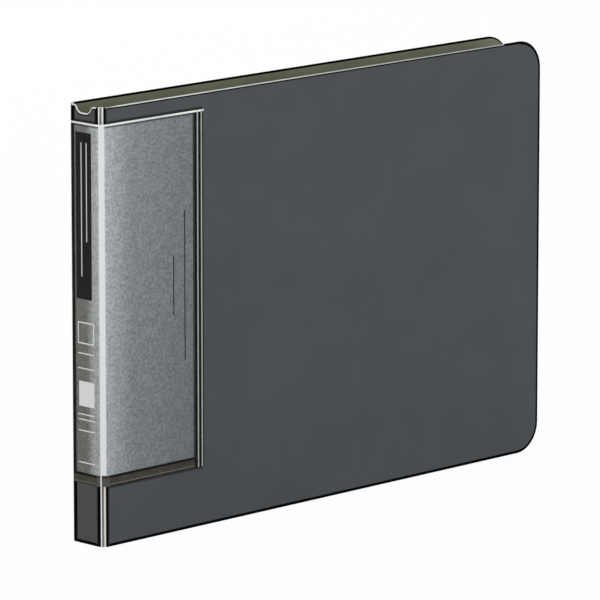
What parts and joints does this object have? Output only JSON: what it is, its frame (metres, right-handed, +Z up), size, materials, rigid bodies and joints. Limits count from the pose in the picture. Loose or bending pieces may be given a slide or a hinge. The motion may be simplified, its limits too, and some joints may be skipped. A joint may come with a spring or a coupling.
{
  "type": "clear pocket display book",
  "caption": "Small display book with a creased plastic cover, clear pocket leaves bound inside the spine and a slide-in label under a clear sleeve round spine and front.",
  "frame": {"origin": "middle of the bounding box at the bottom, where the closed book stands on its lower edges", "axes": "+X from the spine to the fore edge, +Y from the front cover to the rear cover, +Z up"},
  "size_m": [0.215, 0.0172, 0.15],
  "materials": {
    "cover_plastic": "fine matt grain",
    "binding_plastic": "natural, smooth",
    "pocket_film": "clear, lightly embossed",
    "sleeve_film": "clear, glossy",
    "label_paper": "mottled silver grey print"
  },
  "bodies": {
    "spine": {"spine_panel": "cover_plastic", "binding_strip": "binding_plastic", "sleeve_spine_film": "sleeve_film", "sleeve_spine_weld": "sleeve_film"},
    "front_crease": {"front_crease_strip": "cover_plastic", "sleeve_fold_film": "sleeve_film"},
    "front_cover": {"front_cover": "cover_plastic", "sleeve_front_film": "sleeve_film", "sleeve_front_weld": "sleeve_film"},
    "rear_crease": {"rear_crease_strip": "cover_plastic"},
    "rear_cover": {"rear_cover": "cover_plastic"},
    "label_spine": {"label_spine": "label_paper"},
    "label_crease": {"label_fold": "label_paper"},
    "label_front": {"label_front": "label_paper"},
    "pocket_01": {"pocket_01_rear_film": "pocket_film", "pocket_01_front_film": "pocket_film"},
    "pocket_02": {"pocket_02_rear_film": "pocket_film", "pocket_02_front_film": "pocket_film"},
    "pocket_03": {"pocket_03_rear_film": "pocket_film", "pocket_03_front_film": "pocket_film"},
    "pocket_04": {"pocket_04_rear_film": "pocket_film", "pocket_04_front_film": "pocket_film"},
    "pocket_05": {"pocket_05_rear_film": "pocket_film", "pocket_05_front_film": "pocket_film"},
    "pocket_06": {"pocket_06_rear_film": "pocket_film", "pocket_06_front_film": "pocket_film"},
    "pocket_07": {"pocket_07_rear_film": "pocket_film", "pocket_07_front_film": "pocket_film"},
    "pocket_08": {"pocket_08_rear_film": "pocket_film", "pocket_08_front_film": "pocket_film"},
    "pocket_09": {"pocket_09_rear_film": "pocket_film", "pocket_09_front_film": "pocket_film"},
    "pocket_10": {"pocket_10_rear_film": "pocket_film", "pocket_10_front_film": "pocket_film"},
    "pocket_11": {"pocket_11_rear_film": "pocket_film", "pocket_11_front_film": "pocket_film"},
    "pocket_12": {"pocket_12_rear_film": "pocket_film", "pocket_12_front_film": "pocket_film"},
    "pocket_13": {"pocket_13_rear_film": "pocket_film", "pocket_13_front_film": "pocket_film"},
    "pocket_14": {"pocket_14_rear_film": "pocket_film", "pocket_14_front_film": "pocket_film"},
    "pocket_15": {"pocket_15_rear_film": "pocket_film", "pocket_15_front_film": "pocket_film"},
    "pocket_16": {"pocket_16_rear_film": "pocket_film", "pocket_16_front_film": "pocket_film"},
    "pocket_17": {"pocket_17_rear_film": "pocket_film", "pocket_17_front_film": "pocket_film"},
    "pocket_18": {"pocket_18_rear_film": "pocket_film", "pocket_18_front_film": "pocket_film"},
    "pocket_19": {"pocket_19_rear_film": "pocket_film", "pocket_19_front_film": "pocket_film"},
    "pocket_20": {"pocket_20_rear_film": "pocket_film", "pocket_20_front_film": "pocket_film"}
  },
  "joints": [
    {"name": "front_crease_hinge", "type": "hinge", "parent": "spine", "child": "front_crease", "pos_m": [-0.1065, -0.00584, 0], "axis": [0, 0, -1], "range_deg": [0, 90], "deforming": ["sleeve_fold_film"]},
    {"name": "front_cover_hinge", "type": "hinge", "parent": "front_crease", "child": "front_cover", "pos_m": [-0.10487, -0.00747, 0], "axis": [0, 0, -1], "range_deg": [0, 90]},
    {"name": "rear_crease_hinge", "type": "hinge", "parent": "spine", "child": "rear_crease", "pos_m": [-0.1065, 0.00646, 0], "axis": [0, 0, 1], "range_deg": [0, 90]},
    {"name": "rear_cover_hinge", "type": "hinge", "parent": "rear_crease", "child": "rear_cover", "pos_m": [-0.10487, 0.00809, 0], "axis": [0, 0, 1], "range_deg": [0, 90]},
    {"name": "label_slide", "type": "slide", "parent": "spine", "child": "label_spine", "axis": [0, 0, 1], "range_m": [0, 0.122]},
    {"name": "label_crease_hinge", "type": "hinge", "parent": "label_spine", "child": "label_crease", "pos_m": [-0.1065, -0.00584, 0], "axis": [0, 0, -1], "range_deg": [0, 90], "deforming": ["label_fold"]},
    {"name": "label_front_hinge", "type": "hinge", "parent": "label_crease", "child": "label_front", "pos_m": [-0.10487, -0.00747, 0], "axis": [0, 0, -1], "range_deg": [0, 90]},
    {"name": "pocket_01_hinge", "type": "hinge", "parent": "spine", "child": "pocket_01", "pos_m": [-0.10434, -0.00607, 0], "axis": [0, 0, -1], "range_deg": [0, 83.81]},
    {"name": "pocket_02_hinge", "type": "hinge", "parent": "spine", "child": "pocket_02", "pos_m": [-0.10406, -0.00539, 0], "axis": [0, 0, -1], "range_deg": [0, 79.62]},
    {"name": "pocket_03_hinge", "type": "hinge", "parent": "spine", "child": "pocket_03", "pos_m": [-0.10382, -0.0047, 0], "axis": [0, 0, -1], "range_deg": [0, 75.43]},
    {"name": "pocket_04_hinge", "type": "hinge", "parent": "spine", "child": "pocket_04", "pos_m": [-0.10362, -0.004, 0], "axis": [0, 0, -1], "range_deg": [0, 71.24]},
    {"name": "pocket_05_hinge", "type": "hinge", "parent": "spine", "child": "pocket_05", "pos_m": [-0.10344, -0.00331, 0], "axis": [0, 0, -1], "range_deg": [0, 67.05]},
    {"name": "pocket_06_hinge", "type": "hinge", "parent": "spine", "child": "pocket_06", "pos_m": [-0.1033, -0.00263, 0], "axis": [0, 0, -1], "range_deg": [0, 62.86]},
    {"name": "pocket_07_hinge", "type": "hinge", "parent": "spine", "child": "pocket_07", "pos_m": [-0.10319, -0.00194, 0], "axis": [0, 0, -1], "range_deg": [0, 58.67]},
    {"name": "pocket_08_hinge", "type": "hinge", "parent": "spine", "child": "pocket_08", "pos_m": [-0.10311, -0.00125, 0], "axis": [0, 0, -1], "range_deg": [0, 54.48]},
    {"name": "pocket_09_hinge", "type": "hinge", "parent": "spine", "child": "pocket_09", "pos_m": [-0.10305, -0.00056, 0], "axis": [0, 0, -1], "range_deg": [0, 50.29]},
    {"name": "pocket_10_hinge", "type": "hinge", "parent": "spine", "child": "pocket_10", "pos_m": [-0.10303, 0.00014, 0], "axis": [0, 0, -1], "range_deg": [0, 46.1]},
    {"name": "pocket_11_hinge", "type": "hinge", "parent": "spine", "child": "pocket_11", "pos_m": [-0.10304, 0.00082, 0], "axis": [0, 0, -1], "range_deg": [0, 41.9]},
    {"name": "pocket_12_hinge", "type": "hinge", "parent": "spine", "child": "pocket_12", "pos_m": [-0.10308, 0.00152, 0], "axis": [0, 0, -1], "range_deg": [0, 37.71]},
    {"name": "pocket_13_hinge", "type": "hinge", "parent": "spine", "child": "pocket_13", "pos_m": [-0.10314, 0.0022, 0], "axis": [0, 0, -1], "range_deg": [0, 33.52]},
    {"name": "pocket_14_hinge", "type": "hinge", "parent": "spine", "child": "pocket_14", "pos_m": [-0.10324, 0.0029, 0], "axis": [0, 0, -1], "range_deg": [0, 29.33]},
    {"name": "pocket_15_hinge", "type": "hinge", "parent": "spine", "child": "pocket_15", "pos_m": [-0.10337, 0.00359, 0], "axis": [0, 0, -1], "range_deg": [0, 25.14]},
    {"name": "pocket_16_hinge", "type": "hinge", "parent": "spine", "child": "pocket_16", "pos_m": [-0.10352, 0.00428, 0], "axis": [0, 0, -1], "range_deg": [0, 20.95]},
    {"name": "pocket_17_hinge", "type": "hinge", "parent": "spine", "child": "pocket_17", "pos_m": [-0.10371, 0.00496, 0], "axis": [0, 0, -1], "range_deg": [0, 16.76]},
    {"name": "pocket_18_hinge", "type": "hinge", "parent": "spine", "child": "pocket_18", "pos_m": [-0.10394, 0.00566, 0], "axis": [0, 0, -1], "range_deg": [0, 12.57]},
    {"name": "pocket_19_hinge", "type": "hinge", "parent": "spine", "child": "pocket_19", "pos_m": [-0.1042, 0.00634, 0], "axis": [0, 0, -1], "range_deg": [0, 8.38]},
    {"name": "pocket_20_hinge", "type": "hinge", "parent": "spine", "child": "pocket_20", "pos_m": [-0.10449, 0.00703, 0], "axis": [0, 0, -1], "range_deg": [0, 4.19]}
  ],
  "couplings": [
    {"joint": "label_crease_hinge", "follows": "front_crease_hinge", "ratio": 1},
    {"joint": "label_front_hinge", "follows": "front_cover_hinge", "ratio": 1},
    {"joint": "pocket_01_hinge", "follows": "front_cover_hinge", "ratio": 0.93122},
    {"joint": "pocket_02_hinge", "follows": "front_cover_hinge", "ratio": 0.88466},
    {"joint": "pocket_03_hinge", "follows": "front_cover_hinge", "ratio": 0.8381},
    {"joint": "pocket_04_hinge", "follows": "front_cover_hinge", "ratio": 0.79153},
    {"joint": "pocket_05_hinge", "follows": "front_cover_hinge", "ratio": 0.74497},
    {"joint": "pocket_06_hinge", "follows": "front_cover_hinge", "ratio": 0.69841},
    {"joint": "pocket_07_hinge", "follows": "front_cover_hinge", "ratio": 0.65185},
    {"joint": "pocket_08_hinge", "follows": "front_cover_hinge", "ratio": 0.60529},
    {"joint": "pocket_09_hinge", "follows": "front_cover_hinge", "ratio": 0.55873},
    {"joint": "pocket_10_hinge", "follows": "front_cover_hinge", "ratio": 0.51217},
    {"joint": "pocket_11_hinge", "follows": "front_cover_hinge", "ratio": 0.46561},
    {"joint": "pocket_12_hinge", "follows": "front_cover_hinge", "ratio": 0.41905},
    {"joint": "pocket_13_hinge", "follows": "front_cover_hinge", "ratio": 0.37249},
    {"joint": "pocket_14_hinge", "follows": "front_cover_hinge", "ratio": 0.32593},
    {"joint": "pocket_15_hinge", "follows": "front_cover_hinge", "ratio": 0.27937},
    {"joint": "pocket_16_hinge", "follows": "front_cover_hinge", "ratio": 0.2328},
    {"joint": "pocket_17_hinge", "follows": "front_cover_hinge", "ratio": 0.18624},
    {"joint": "pocket_18_hinge", "follows": "front_cover_hinge", "ratio": 0.13968},
    {"joint": "pocket_19_hinge", "follows": "front_cover_hinge", "ratio": 0.093122},
    {"joint": "pocket_20_hinge", "follows": "front_cover_hinge", "ratio": 0.046561}
  ]
}
